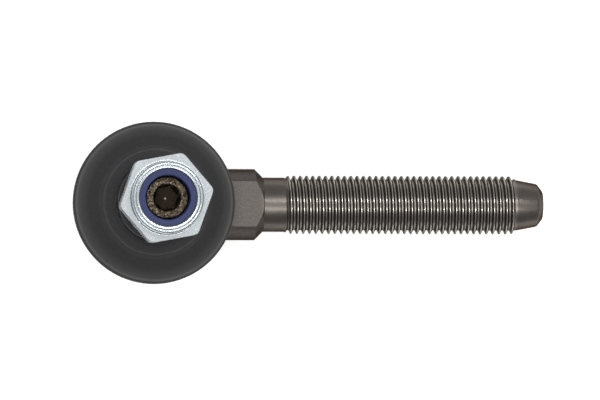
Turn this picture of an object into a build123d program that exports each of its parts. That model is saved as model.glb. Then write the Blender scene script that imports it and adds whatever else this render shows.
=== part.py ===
"""Tie rod end: an outer ball joint for a car's steering, with a threaded shank and a tapered ball stud.

The origin is the centre of the ball. +Z runs up the ball stud to its lock nut, and +X runs out
along the threaded shank. Every size is in millimetres.
"""

import math
import os

from build123d import *

# ---------------------------------------------------------------- clearances
BALL_CLEARANCE = 0.08  # radial, ball in its two acetal seats
SEAT_GAP = 0.03  # seats and closing plate in the housing bore
SEAT_SPLIT = 0.4  # between the two seats at the ball's equator
RUBBER_GAP = 0.02  # rubber beside the metal that it grips
SPRING_GAP = 0.02  # preload spring to the two faces that it presses on
THREAD_CLEARANCE = 0.06  # radial, bore of the nut outside the crests of the stud's thread
SWING = 20.0  # degrees each way, about X and about Y
SWING_ROOM = 0.4  # stud neck clear of the housing mouth, swung fully both ways

# ---------------------------------------------------------------- metric thread form, one ring for each turn
FLANK_SLOPE = math.tan(math.radians(30))  # run along the axis for each millimetre of depth
THREAD_DEPTH = 0.6134  # external thread, as a share of the pitch
CREST_SHARE = 1 / 8  # crest width, as a share of the pitch
THREAD_UNDERSIZE = 0.04  # real crests lie this much under the nominal diameter

# ---------------------------------------------------------------- ball and stud
BALL_DIA = 20.0
BALL_FLAT_DIA = 9.5  # flat turned under the ball
NECK_DIA = 10.0
NECK_TOP = 17.2  # where the neck starts to flare to the collar
FLARE_HEIGHT = 2.2
COLLAR_HEIGHT = 6.6
COLLAR_DIA = 14.0  # also the large end of the taper
TAPER_LENGTH = 15.0
TAPER_RATIO = 10.0  # 1 in 10 on the diameter
STUD_RELIEF_LENGTH = 1.0
STUD_THREAD_MAJOR = 12.0
STUD_THREAD_PITCH = 1.25
STUD_THREAD_LENGTH = 8.0
STUD_CORE_GAP = 0.02  # plain ends of the stud under the root of its thread
STUD_TIP_LENGTH = 1.3  # plain end above the thread
STUD_TIP_CHAMFER = 0.6
SOCKET_FLATS = 5.0
SOCKET_DEPTH = 5.0
SOCKET_LEAD = 0.35  # chamfer round the mouth of the hexagon socket
SOCKET_POINT_ANGLE = 118.0  # drill point under the hexagon

# ---------------------------------------------------------------- lock nut and its nylon ring
NUT_FLATS = 18.85
NUT_TURNED = 10.5  # degrees, a corner of the hexagon from +X
NUT_HEX_HEIGHT = 8.0
NUT_HEIGHT = 12.0
NUT_CHAMFER_ANGLE = 30.0
NUT_BEARING_STEP = 0.5  # bearing face inside the flats
NUT_CROWN_STEP = -0.95  # top of the hexagon, outside the flats
NUT_LEAD = 0.7  # countersink at the bearing face
NUT_GROOVE_DEPTH = 0.6
NYLON_THICK = 3.1
NYLON_REACH = 1.0  # bore of the nylon inside the thread's crest
NYLON_COVER = 1.3  # rim of the nylon outside the thread's crest
NYLON_EDGE = 0.5  # rounding round the bore of the nylon
NYLON_LIFT = 0.2  # nylon above the end of the stud
CRIMP_OVERLAP = 0.75  # lip rolled over the nylon
CRIMP_THICK = 0.6
CRIMP_EDGE = 0.45
NUT_COLLAR_WALL = 0.9
NUT_COLLAR_ROOT = 0.45  # fillet from the top of the hexagon to the collar

# ---------------------------------------------------------------- seats and preload spring
SEAT_WALL = 2.0  # ball to bore
SEAT_TOP = 5.0
SEAT_FLOOR = 0.92  # lower seat below the ball
SEAT_HOLE_DIA = 9.0  # grease hole through the lower seat
SPRING_INSET = 2.0  # rim of the spring inside the bore
SPRING_BORE_DIA = 11.0
SPRING_THICK = 1.0
SPRING_HEIGHT = 2.4

# ---------------------------------------------------------------- housing
SHANK_DROP = 3.4  # ball centre down to the shank's axis
HOUSING_WALL = 3.5
BORE_TOP = 2.6  # where the bore meets the shoulder over the upper seat
SHOULDER_TOP = 6.4
SHOULDER_WIDTH = 1.7
MOUTH_HEIGHT = 2.8
FLANGE_STEP = 0.5  # rim above the boot groove, inside the housing's outer wall
FLANGE_THICK = 1.2
FLANGE_CHAMFER = 0.6
BOOT_GROOVE_WIDTH = 2.5
BOOT_GROOVE_DEPTH = 1.7
PLATE_THICK = 2.0
PLATE_STEP = 1.1  # width of the step that the closing plate bears on
PLATE_DISH = 0.7
PLATE_DISH_DIA = 15.0
PLATE_DISH_RUN = 1.6
ROLL_LIP_THICK = 1.6
ROLL_LIP_OVERLAP = 1.7
ROLL_LIP_CHAMFER = 0.5
ROLL_RADIUS = 2.6  # outer rounding of the lip rolled under the closing plate
FORGING_FILLET = 2.2

# ---------------------------------------------------------------- shank, measured out from the ball centre
SHANK_NECK_DIA = 16.8
SHANK_NECK_END = 24.6
WRENCH_FLATS = 13.0
FLATS_GAP = 1.9  # housing wall to the start of the flats
SHANK_PLAIN_DIA = 12.8
SHANK_THREAD_START = 31.4
SHANK_THREAD_MAJOR = 14.0
SHANK_THREAD_PITCH = 1.5
SHANK_THREAD_LENGTH = 55.6
PILOT_DIA = 11.9
PILOT_TIP_DIA = 10.1
PILOT_LENGTH = 4.8
TIP_FACE_DIA = 6.7
TIP_LENGTH = 1.2

# ---------------------------------------------------------------- rubber boot and its two rings
BOOT_WALL = 1.5
BOOT_RIM_GAP = 0.15  # rubber beside the housing's rim
BOOT_RIM_LIFT = 0.5  # start of the side wall above the boot groove
BOOT_OVERHANG = 3.95  # side of the boot outside the housing's rim
BOOT_SIDE_BOTTOM = -0.3  # heights from here to the waist are above the top of the housing
BOOT_SIDE_TOP = 1.2
BOOT_SHOULDER_TOP = 3.1
BOOT_SHOULDER_INSET = 1.85
BOOT_WAIST_TOP = 6.2
BOOT_WAIST_STEP = 0.9  # foot of the neck outside the neck
BOOT_NECK_STEP = 1.9
BOOT_NECK_DROP = 1.6
BOOT_NECK_LIFT = 0.4  # groove of the top ring above the neck
BOOT_LIP_THICK = 2.8
BOOT_LIP_DROP = 0.6  # top of the lip below the large end of the taper
BOOT_LIP_WALL = 1.8  # rubber between the collar and the top ring
TOP_RING_WIDTH = 2.0
TOP_RING_THICK = 1.0
TOP_RING_COVER = 0.45  # lip outside the groove of the top ring
BOOT_NECK_COVER = 1.6  # neck outside the same groove
BEAD_WALL = 2.4  # rubber between the housing and the clamp ring
BEAD_COVER = 0.8
BEAD_SKIRT = 0.38
CLAMP_RING_WIDTH = 1.7
CLAMP_RING_THICK = 0.9
CLAMP_RING_SPLIT = 1.5

# ---------------------------------------------------------------- worked out from the sizes above
BALL_R = BALL_DIA / 2
SEAT_R = BALL_R + BALL_CLEARANCE
NECK_R = NECK_DIA / 2
COLLAR_R = COLLAR_DIA / 2
FULL_SWING = math.acos(math.cos(math.radians(SWING)) ** 2)  # about X and Y together
COLLAR_BOTTOM = NECK_TOP + FLARE_HEIGHT
COLLAR_TOP = COLLAR_BOTTOM + COLLAR_HEIGHT
TAPER_TOP = COLLAR_TOP + TAPER_LENGTH
TAPER_SMALL_R = COLLAR_R - TAPER_LENGTH / TAPER_RATIO / 2
STUD_THREAD_START = TAPER_TOP + STUD_RELIEF_LENGTH
STUD_CREST_R = (STUD_THREAD_MAJOR - THREAD_UNDERSIZE) / 2
STUD_CORE_R = STUD_CREST_R - THREAD_DEPTH * STUD_THREAD_PITCH - STUD_CORE_GAP
STUD_END = STUD_THREAD_START + STUD_THREAD_LENGTH + STUD_TIP_LENGTH

NYLON_BOTTOM = STUD_END + NYLON_LIFT
NYLON_TOP = NYLON_BOTTOM + NYLON_THICK
NYLON_BORE_R = STUD_THREAD_MAJOR / 2 - NYLON_REACH
NYLON_R = STUD_THREAD_MAJOR / 2 + NYLON_COVER
NUT_TOP = NYLON_TOP + CRIMP_THICK
NUT_UNDERSIDE = NUT_TOP - NUT_HEIGHT
NUT_HEX_TOP = NUT_UNDERSIDE + NUT_HEX_HEIGHT
NUT_COLLAR_R = NYLON_R + NUT_COLLAR_WALL
NUT_BORE_R = STUD_CREST_R + THREAD_CLEARANCE

BORE_R = BALL_R + SEAT_WALL
HOUSING_R = BORE_R + HOUSING_WALL
HOUSING_TOP = SHOULDER_TOP + MOUTH_HEIGHT
SHOULDER_R = BORE_R - SHOULDER_WIDTH
SHOULDER_LEAN = SHOULDER_WIDTH / (SHOULDER_TOP - BORE_TOP)
FLANGE_R = HOUSING_R - FLANGE_STEP
BOOT_GROOVE_R = HOUSING_R - BOOT_GROOVE_DEPTH
BOOT_GROOVE_TOP = HOUSING_TOP - FLANGE_THICK
BOOT_GROOVE_BOTTOM = BOOT_GROOVE_TOP - BOOT_GROOVE_WIDTH
SEAT_BOTTOM = -(SEAT_R + SEAT_FLOOR)
SEAT_OUTER_R = BORE_R - SEAT_GAP
HALF_SPLIT = SEAT_SPLIT / 2
PLATE_SEAT = SEAT_BOTTOM - SPRING_HEIGHT
PLATE_BOTTOM = PLATE_SEAT - PLATE_THICK
PLATE_R = BORE_R + PLATE_STEP
HOUSING_BOTTOM = PLATE_BOTTOM - ROLL_LIP_THICK
ROLL_LIP_R = PLATE_R - ROLL_LIP_OVERLAP

FLATS_START = HOUSING_R + FLATS_GAP
SHANK_CREST_R = (SHANK_THREAD_MAJOR - THREAD_UNDERSIZE) / 2
SHANK_CONE_END = SHANK_NECK_END + (SHANK_NECK_DIA - SHANK_PLAIN_DIA) / 2
SHANK_THREAD_END = SHANK_THREAD_START + SHANK_THREAD_LENGTH
PILOT_END = SHANK_THREAD_END + PILOT_LENGTH
SHANK_END = PILOT_END + TIP_LENGTH
SHANK_PLANE = Plane(origin=(0, 0, -SHANK_DROP), x_dir=(0, 1, 0), z_dir=(1, 0, 0))
SHANK_PROFILE_PLANE = Plane(origin=(0, 0, -SHANK_DROP), x_dir=(1, 0, 0), z_dir=(0, -1, 0))

BOOT_R = FLANGE_R + BOOT_OVERHANG
BOOT_GRIP_R = BOOT_GROOVE_R + RUBBER_GAP
CLAMP_GROOVE_R = BOOT_GROOVE_R + BEAD_WALL
CLAMP_GROOVE_BOTTOM = BOOT_GROOVE_BOTTOM + RUBBER_GAP + BEAD_SKIRT
CLAMP_GROOVE_TOP = CLAMP_GROOVE_BOTTOM + CLAMP_RING_WIDTH
BOOT_LIP_BORE_R = COLLAR_R + RUBBER_GAP
BOOT_LIP_TOP = COLLAR_TOP - BOOT_LIP_DROP
BOOT_LIP_BOTTOM = BOOT_LIP_TOP - BOOT_LIP_THICK
TOP_GROOVE_R = COLLAR_R + BOOT_LIP_WALL
TOP_GROOVE_BOTTOM = BOOT_LIP_BOTTOM - TOP_RING_WIDTH
BOOT_LIP_R = TOP_GROOVE_R + TOP_RING_COVER
BOOT_NECK_TOP_R = TOP_GROOVE_R + BOOT_NECK_COVER
BOOT_NECK_TOP = TOP_GROOVE_BOTTOM - BOOT_NECK_LIFT
BOOT_NECK_R = BOOT_NECK_TOP_R + BOOT_NECK_STEP
BOOT_NECK_Z = BOOT_NECK_TOP - BOOT_NECK_DROP


def swing_radius(height):
    """How far from the Z axis the stud's neck reaches at this height, swung fully both ways."""
    return NECK_R / math.cos(FULL_SWING) + height * math.tan(FULL_SWING)


def sphere_radius(sphere, height):
    return math.sqrt(sphere**2 - height**2)


def straight_face(*points):
    """A straight-sided face, added to the sketch that is open."""
    Polygon(*points, align=None)


def thread_rings(crest_radius, pitch, start, length):
    """Profile of an external thread as (place along the axis, radius) pairs, with a ring for each turn."""
    depth = THREAD_DEPTH * pitch
    flank = depth * FLANK_SLOPE
    crest = pitch * CREST_SHARE
    points = []
    for turn in range(round(length / pitch)):
        foot = start + turn * pitch
        points += [
            (foot, crest_radius - depth),
            (foot + flank, crest_radius),
            (foot + flank + crest, crest_radius),
            (foot + 2 * flank + crest, crest_radius - depth),
        ]
    return points + [(start + length, crest_radius - depth)]


def finish(piece, label):
    """Name a finished piece and write it as a STEP file."""
    piece.part.label = label
    export_step(piece.part, f"parts/{label}.step")


os.makedirs("parts", exist_ok=True)

# ---------------------------------------------------------------- housing, forged in one with its shank
with BuildPart() as housing:
    with BuildSketch(Plane.XZ):
        straight_face(
            (0, HOUSING_BOTTOM), (HOUSING_R, HOUSING_BOTTOM), (HOUSING_R, HOUSING_TOP), (0, HOUSING_TOP)
        )
    revolve(axis=Axis.Z)
    fillet(housing.edges().sort_by(Axis.Z)[0], ROLL_RADIUS)

    # the shank's neck joins the cup with a forging radius, the only free-form edge there
    with BuildSketch(SHANK_PLANE):
        Circle(SHANK_NECK_DIA / 2)
    extrude(amount=SHANK_NECK_END)
    fillet(housing.edges().filter_by(GeomType.BSPLINE), FORGING_FILLET)

    # boot groove and rim, turned after forging
    with BuildSketch(Plane.XZ):
        straight_face(
            (SHANK_NECK_END, BOOT_GROOVE_BOTTOM),
            (BOOT_GROOVE_R, BOOT_GROOVE_BOTTOM),
            (BOOT_GROOVE_R, BOOT_GROOVE_TOP),
            (FLANGE_R, BOOT_GROOVE_TOP),
            (FLANGE_R, HOUSING_TOP - FLANGE_CHAMFER),
            (FLANGE_R - FLANGE_CHAMFER, HOUSING_TOP),
            (SHANK_NECK_END, HOUSING_TOP),
        )
    revolve(axis=Axis.Z, mode=Mode.SUBTRACT)

    # bore, shoulder, mouth and the recess for the closing plate
    with BuildSketch(Plane.XZ):
        straight_face(
            (0, HOUSING_BOTTOM),
            (ROLL_LIP_R + ROLL_LIP_CHAMFER, HOUSING_BOTTOM),
            (ROLL_LIP_R, HOUSING_BOTTOM + ROLL_LIP_CHAMFER),
            (ROLL_LIP_R, PLATE_BOTTOM),
            (PLATE_R, PLATE_BOTTOM),
            (PLATE_R, PLATE_SEAT),
            (BORE_R, PLATE_SEAT),
            (BORE_R, BORE_TOP),
            (SHOULDER_R, SHOULDER_TOP),
            (swing_radius(HOUSING_TOP) + SWING_ROOM, HOUSING_TOP),
            (0, HOUSING_TOP),
        )
    revolve(axis=Axis.Z, mode=Mode.SUBTRACT)

    # shank: cone, plain stretch, thread, pilot and its tip
    with BuildSketch(SHANK_PROFILE_PLANE):
        straight_face(
            (SHANK_NECK_END, 0),
            (SHANK_NECK_END, SHANK_NECK_DIA / 2),
            (SHANK_CONE_END, SHANK_PLAIN_DIA / 2),
            (SHANK_THREAD_START, SHANK_PLAIN_DIA / 2),
            *thread_rings(SHANK_CREST_R, SHANK_THREAD_PITCH, SHANK_THREAD_START, SHANK_THREAD_LENGTH),
            (SHANK_THREAD_END, PILOT_DIA / 2),
            (PILOT_END, PILOT_TIP_DIA / 2),
            (SHANK_END, TIP_FACE_DIA / 2),
            (SHANK_END, 0),
        )
    revolve(axis=Axis((0, 0, -SHANK_DROP), (1, 0, 0)))

    # two wrench flats on the neck
    for side in (1, -1):
        with BuildSketch(Plane.XY.offset(side * WRENCH_FLATS / 2 - SHANK_DROP)):
            with Locations((FLATS_START, 0)):
                Rectangle(SHANK_THREAD_START - FLATS_START, SHANK_NECK_DIA, align=(Align.MIN, Align.CENTER))
        extrude(amount=side * SHANK_NECK_DIA / 2, mode=Mode.SUBTRACT)
finish(housing, "housing")

# ---------------------------------------------------------------- acetal seats round the ball
with BuildPart() as upper_seat:
    with BuildSketch(Plane.XZ):
        with BuildLine():
            inner = RadiusArc(
                (sphere_radius(SEAT_R, HALF_SPLIT), HALF_SPLIT),
                (sphere_radius(SEAT_R, SEAT_TOP), SEAT_TOP),
                -SEAT_R,
            )
            Polyline(
                inner @ 1,
                (SEAT_OUTER_R - (SEAT_TOP - BORE_TOP) * SHOULDER_LEAN, SEAT_TOP),
                (SEAT_OUTER_R, BORE_TOP),
                (SEAT_OUTER_R, HALF_SPLIT),
                inner @ 0,
            )
        make_face()
    revolve(axis=Axis.Z)
finish(upper_seat, "upper_seat")

with BuildPart() as lower_seat:
    with BuildSketch(Plane.XZ):
        hole_r = SEAT_HOLE_DIA / 2
        with BuildLine():
            inner = RadiusArc(
                (hole_r, -sphere_radius(SEAT_R, hole_r)),
                (sphere_radius(SEAT_R, HALF_SPLIT), -HALF_SPLIT),
                -SEAT_R,
            )
            Polyline(
                inner @ 1,
                (SEAT_OUTER_R, -HALF_SPLIT),
                (SEAT_OUTER_R, SEAT_BOTTOM),
                (hole_r, SEAT_BOTTOM),
                inner @ 0,
            )
        make_face()
    revolve(axis=Axis.Z)
finish(lower_seat, "lower_seat")

# ---------------------------------------------------------------- coned spring washer under the lower seat
with BuildPart() as preload_spring:
    with BuildSketch(Plane.XZ):
        spring_top = SEAT_BOTTOM - SPRING_GAP
        spring_foot = PLATE_SEAT + SPRING_GAP
        straight_face(
            (SPRING_BORE_DIA / 2, spring_top),
            (SPRING_BORE_DIA / 2, spring_top - SPRING_THICK),
            (BORE_R - SPRING_INSET, spring_foot),
            (BORE_R - SPRING_INSET, spring_foot + SPRING_THICK),
        )
    revolve(axis=Axis.Z)
finish(preload_spring, "preload_spring")

# ---------------------------------------------------------------- pressed plate that closes the housing
with BuildPart() as closing_plate:
    with BuildSketch(Plane.XZ):
        dish_r = PLATE_DISH_DIA / 2
        straight_face(
            (0, PLATE_SEAT - PLATE_DISH),
            (dish_r, PLATE_SEAT - PLATE_DISH),
            (dish_r + PLATE_DISH_RUN, PLATE_SEAT),
            (PLATE_R - SEAT_GAP, PLATE_SEAT),
            (PLATE_R - SEAT_GAP, PLATE_BOTTOM),
            (dish_r + PLATE_DISH_RUN, PLATE_BOTTOM),
            (dish_r, PLATE_BOTTOM - PLATE_DISH),
            (0, PLATE_BOTTOM - PLATE_DISH),
        )
    revolve(axis=Axis.Z)
finish(closing_plate, "closing_plate")

# ---------------------------------------------------------------- ball stud
with BuildPart() as ball_stud:
    with BuildSketch(Plane.XZ):
        with BuildLine():
            flat_r = BALL_FLAT_DIA / 2
            flat_z = -sphere_radius(BALL_R, flat_r)
            flat = Line((0, flat_z), (flat_r, flat_z))
            ball = ThreePointArc(flat @ 1, (BALL_R, 0), (NECK_R, sphere_radius(BALL_R, NECK_R)))
            neck = Line(ball @ 1, (NECK_R, NECK_TOP))
            flare = TangentArc(neck @ 1, (COLLAR_R, COLLAR_BOTTOM), tangent=(0, 1))
            Polyline(
                flare @ 1,
                (COLLAR_R, COLLAR_TOP),
                (TAPER_SMALL_R, TAPER_TOP),
                (STUD_CORE_R, TAPER_TOP),
                *[
                    (radius, height)
                    for height, radius in thread_rings(
                        STUD_CREST_R, STUD_THREAD_PITCH, STUD_THREAD_START, STUD_THREAD_LENGTH
                    )
                ],
                (STUD_CORE_R, STUD_END - STUD_TIP_CHAMFER),
                (STUD_CORE_R - STUD_TIP_CHAMFER, STUD_END),
                (0, STUD_END),
                flat @ 0,
            )
        make_face()
    revolve(axis=Axis.Z)

    # hexagon socket that holds the stud while the nut is turned
    with BuildSketch(Plane.XY.offset(STUD_END)):
        RegularPolygon(SOCKET_FLATS / 2, 6, major_radius=False)
    extrude(amount=-SOCKET_DEPTH, mode=Mode.SUBTRACT)
    with BuildSketch(Plane.XZ):
        socket_r = SOCKET_FLATS / 2
        mouth_r = SOCKET_FLATS / math.sqrt(3) + SOCKET_LEAD
        point_depth = socket_r / math.tan(math.radians(SOCKET_POINT_ANGLE / 2))
        straight_face(
            (0, STUD_END),
            (mouth_r, STUD_END),
            (socket_r, STUD_END - (mouth_r - socket_r)),
            (socket_r, STUD_END - SOCKET_DEPTH),
            (0, STUD_END - SOCKET_DEPTH - point_depth),
        )
    revolve(axis=Axis.Z, mode=Mode.SUBTRACT)
finish(ball_stud, "ball_stud")

# ---------------------------------------------------------------- lock nut
with BuildPart() as lock_nut:
    with BuildSketch(Plane.XY.offset(NUT_UNDERSIDE)):
        RegularPolygon(NUT_FLATS / 2, 6, major_radius=False, rotation=NUT_TURNED)
    extrude(amount=NUT_HEX_HEIGHT)

    # corners chamfered above and below
    with BuildSketch(Plane.XZ):
        corner_r = NUT_FLATS / math.sqrt(3)
        bearing_r = NUT_FLATS / 2 - NUT_BEARING_STEP
        crown_r = NUT_FLATS / 2 - NUT_CROWN_STEP
        chamfer_slope = math.tan(math.radians(NUT_CHAMFER_ANGLE))
        straight_face(
            (0, NUT_UNDERSIDE),
            (bearing_r, NUT_UNDERSIDE),
            (corner_r, NUT_UNDERSIDE + (corner_r - bearing_r) * chamfer_slope),
            (corner_r, NUT_HEX_TOP - (corner_r - crown_r) * chamfer_slope),
            (crown_r, NUT_HEX_TOP),
            (0, NUT_HEX_TOP),
        )
    revolve(axis=Axis.Z, mode=Mode.INTERSECT)

    # collar, with its lip rolled over the nylon ring
    with BuildSketch(Plane.XZ):
        straight_face(
            (0, NUT_HEX_TOP),
            (NUT_COLLAR_R + NUT_COLLAR_ROOT, NUT_HEX_TOP),
            (NUT_COLLAR_R, NUT_HEX_TOP + NUT_COLLAR_ROOT),
            (NUT_COLLAR_R, NUT_TOP - CRIMP_EDGE),
            (NUT_COLLAR_R - CRIMP_EDGE, NUT_TOP),
            (0, NUT_TOP),
        )
    revolve(axis=Axis.Z)

    # bore, the pocket that holds the nylon, and the countersink below
    with BuildSketch(Plane.XZ):
        straight_face(
            (0, NUT_UNDERSIDE),
            (NUT_BORE_R + NUT_LEAD, NUT_UNDERSIDE),
            (NUT_BORE_R, NUT_UNDERSIDE + NUT_LEAD),
            (NUT_BORE_R, NYLON_BOTTOM),
            (NYLON_R, NYLON_BOTTOM),
            (NYLON_R, NYLON_TOP),
            (NYLON_R - CRIMP_OVERLAP, NYLON_TOP),
            (NYLON_R - CRIMP_OVERLAP, NUT_TOP),
            (0, NUT_TOP),
        )
    revolve(axis=Axis.Z, mode=Mode.SUBTRACT)

    # thread grooves, cut outwards from the bore so that the nut can be moved along the stud
    with BuildSketch(Plane.XZ):
        half_groove = NUT_GROOVE_DEPTH * FLANK_SLOPE
        for turn in range(int((NYLON_BOTTOM - NUT_UNDERSIDE - NUT_LEAD) / STUD_THREAD_PITCH)):
            middle = NYLON_BOTTOM - (turn + 0.5) * STUD_THREAD_PITCH
            straight_face(
                (NUT_BORE_R - NUT_LEAD, middle - half_groove),
                (NUT_BORE_R, middle - half_groove),
                (NUT_BORE_R + NUT_GROOVE_DEPTH, middle),
                (NUT_BORE_R, middle + half_groove),
                (NUT_BORE_R - NUT_LEAD, middle + half_groove),
            )
    revolve(axis=Axis.Z, mode=Mode.SUBTRACT)
finish(lock_nut, "lock_nut")

# ---------------------------------------------------------------- nylon ring that grips the thread
with BuildPart() as nylon_ring:
    with BuildSketch(Plane.XZ):
        straight_face(
            (NYLON_BORE_R, NYLON_BOTTOM),
            (NYLON_R, NYLON_BOTTOM),
            (NYLON_R, NYLON_TOP),
            (NYLON_BORE_R, NYLON_TOP),
        )
    revolve(axis=Axis.Z)
    fillet(nylon_ring.edges().filter_by(GeomType.CIRCLE).group_by(SortBy.RADIUS)[0], NYLON_EDGE)
finish(nylon_ring, "nylon_ring")

# ---------------------------------------------------------------- rubber boot
with BuildPart() as dust_boot:
    with BuildSketch(Plane.XZ):
        side_in_r = BOOT_R - BOOT_WALL
        shoulder_r = BOOT_R - BOOT_SHOULDER_INSET
        waist_r = BOOT_NECK_R + BOOT_WAIST_STEP
        pocket_r = FLANGE_R + BOOT_RIM_GAP
        half_wall = BOOT_WALL / 2
        shoulder_z = HOUSING_TOP + BOOT_SHOULDER_TOP
        waist_z = HOUSING_TOP + BOOT_WAIST_TOP
        straight_face(
            (BOOT_GRIP_R, BOOT_GROOVE_BOTTOM + RUBBER_GAP),
            (CLAMP_GROOVE_R + BEAD_COVER, BOOT_GROOVE_BOTTOM + RUBBER_GAP),
            (CLAMP_GROOVE_R + BEAD_COVER, CLAMP_GROOVE_BOTTOM),
            (CLAMP_GROOVE_R, CLAMP_GROOVE_BOTTOM),
            (CLAMP_GROOVE_R, CLAMP_GROOVE_TOP),
            (side_in_r, CLAMP_GROOVE_TOP),
            (BOOT_R, HOUSING_TOP + BOOT_SIDE_BOTTOM),
            (BOOT_R, HOUSING_TOP + BOOT_SIDE_TOP),
            (shoulder_r, shoulder_z),
            (waist_r, waist_z),
            (BOOT_NECK_R, BOOT_NECK_Z),
            (BOOT_NECK_TOP_R, BOOT_NECK_TOP),
            (TOP_GROOVE_R, TOP_GROOVE_BOTTOM),
            (TOP_GROOVE_R, BOOT_LIP_BOTTOM),
            (BOOT_LIP_R, BOOT_LIP_BOTTOM),
            (BOOT_LIP_R, BOOT_LIP_TOP),
            (BOOT_LIP_BORE_R, BOOT_LIP_TOP),
            (BOOT_LIP_BORE_R, BOOT_NECK_TOP),
            (BOOT_NECK_TOP_R - BOOT_WALL, BOOT_NECK_Z),
            (BOOT_NECK_R - BOOT_WALL, BOOT_NECK_Z - BOOT_WALL),
            (waist_r - BOOT_WALL, waist_z - half_wall),
            (shoulder_r - BOOT_WALL, shoulder_z - BOOT_WALL),
            (side_in_r, HOUSING_TOP + BOOT_SIDE_TOP - half_wall),
            (side_in_r, HOUSING_TOP + BOOT_SIDE_BOTTOM + half_wall),
            (pocket_r, BOOT_GROOVE_TOP + BOOT_RIM_LIFT),
            (pocket_r, BOOT_GROOVE_TOP - RUBBER_GAP),
            (BOOT_GRIP_R, BOOT_GROOVE_TOP - RUBBER_GAP),
        )
    revolve(axis=Axis.Z)
finish(dust_boot, "dust_boot")

# ---------------------------------------------------------------- steel rings that hold the boot
with BuildPart() as boot_clamp_ring:
    with BuildSketch(Plane.XZ):
        clamp_r = CLAMP_GROOVE_R + RUBBER_GAP
        straight_face(
            (clamp_r, CLAMP_GROOVE_BOTTOM + RUBBER_GAP),
            (clamp_r + CLAMP_RING_THICK, CLAMP_GROOVE_BOTTOM + RUBBER_GAP),
            (clamp_r + CLAMP_RING_THICK, CLAMP_GROOVE_TOP - RUBBER_GAP),
            (clamp_r, CLAMP_GROOVE_TOP - RUBBER_GAP),
        )
    revolve(axis=Axis.Z)
    with BuildSketch(Plane.XY):
        with Locations((-CLAMP_GROOVE_R, 0)):
            Rectangle(CLAMP_GROOVE_R, CLAMP_RING_SPLIT, align=(Align.MAX, Align.CENTER))
    extrude(amount=CLAMP_GROOVE_TOP, mode=Mode.SUBTRACT)
finish(boot_clamp_ring, "boot_clamp_ring")

with BuildPart() as boot_top_ring:
    with BuildSketch(Plane.XZ):
        ring_r = TOP_GROOVE_R + RUBBER_GAP
        straight_face(
            (ring_r, TOP_GROOVE_BOTTOM + RUBBER_GAP),
            (ring_r + TOP_RING_THICK, TOP_GROOVE_BOTTOM + RUBBER_GAP),
            (ring_r + TOP_RING_THICK, BOOT_LIP_BOTTOM - RUBBER_GAP),
            (ring_r, BOOT_LIP_BOTTOM - RUBBER_GAP),
        )
    revolve(axis=Axis.Z)
finish(boot_top_ring, "boot_top_ring")
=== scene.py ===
import math

import bmesh
import bpy
from mathutils import Matrix, Vector


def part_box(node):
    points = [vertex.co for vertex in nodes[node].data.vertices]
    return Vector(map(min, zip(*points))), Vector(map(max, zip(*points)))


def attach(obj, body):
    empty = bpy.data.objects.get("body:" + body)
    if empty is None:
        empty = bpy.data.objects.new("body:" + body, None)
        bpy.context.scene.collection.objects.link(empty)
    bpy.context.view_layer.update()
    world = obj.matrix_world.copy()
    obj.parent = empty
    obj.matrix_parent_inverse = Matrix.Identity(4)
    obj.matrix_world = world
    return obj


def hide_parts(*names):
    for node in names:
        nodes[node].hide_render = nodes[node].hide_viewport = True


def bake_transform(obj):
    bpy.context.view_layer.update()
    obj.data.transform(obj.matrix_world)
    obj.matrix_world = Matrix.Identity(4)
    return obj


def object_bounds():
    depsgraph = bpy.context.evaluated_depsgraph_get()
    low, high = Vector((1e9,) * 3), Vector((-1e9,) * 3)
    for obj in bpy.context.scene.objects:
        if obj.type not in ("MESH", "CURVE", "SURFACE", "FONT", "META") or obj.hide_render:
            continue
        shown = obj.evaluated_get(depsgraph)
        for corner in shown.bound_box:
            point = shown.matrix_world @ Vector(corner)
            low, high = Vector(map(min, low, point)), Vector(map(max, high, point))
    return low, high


# Looks of a tie rod end, in millimetres until each mesh is scaled to metres.
# The ball centre is the origin, +Z runs up the ball stud and +X out along the threaded shank.

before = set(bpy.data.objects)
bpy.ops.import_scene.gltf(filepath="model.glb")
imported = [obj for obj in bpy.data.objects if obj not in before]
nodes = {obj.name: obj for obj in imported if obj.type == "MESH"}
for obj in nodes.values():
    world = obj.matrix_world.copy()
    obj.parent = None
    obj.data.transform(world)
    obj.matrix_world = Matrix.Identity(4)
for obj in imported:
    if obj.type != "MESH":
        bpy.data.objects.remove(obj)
cad_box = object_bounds()

MM = 0.001
SIDES = 96  # round the stud, the nut and the boot
SHANK_SIDES = 72
SHARP = math.radians(34)  # an edge with more of a turn than this is drawn sharp


def extent(node):
    """Lowest and highest corner of a CAD node, in millimetres."""
    low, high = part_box(node)
    return low / MM, high / MM


# ---------------------------------------------------------------- sizes
HOUSING_HIGH = extent("housing")[1]
STUD_HIGH = extent("ball_stud")[1]
NUT_LOW, NUT_HIGH = extent("lock_nut")
NYLON_LOW, NYLON_HIGH = extent("nylon_ring")
BOOT_LOW, BOOT_HIGH = extent("dust_boot")
CLAMP_LOW, CLAMP_HIGH = extent("boot_clamp_ring")
TOP_RING_LOW, TOP_RING_HIGH = extent("boot_top_ring")

THREAD_DEPTH = 0.6134  # external thread, as a share of its pitch
THREAD_FLANK = math.tan(math.radians(30))  # flank's run for each millimetre of depth
THREAD_STEPS = 16  # points on each turn's profile

SHANK_DROP = 3.4  # ball centre down to the shank's axis
SHANK_CONE_END = 26.6
SHANK_PLAIN_R = 6.4
SHANK_THREAD_START = 31.4
SHANK_PITCH = 1.5
SHANK_TURNS = 37
SHANK_CREST_R = 6.9
SHANK_THREAD_END = SHANK_THREAD_START + SHANK_PITCH * SHANK_TURNS
PILOT_R = 5.95
PILOT_TIP_R = 5.05
PILOT_LENGTH = 4.8
TIP_FACE_R = 3.35
SHANK_OVERLAP = 0.1  # forging kept past the end of its cone
SHANK_JOIN = 0.3  # from the end of the cone to the new shank

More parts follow.
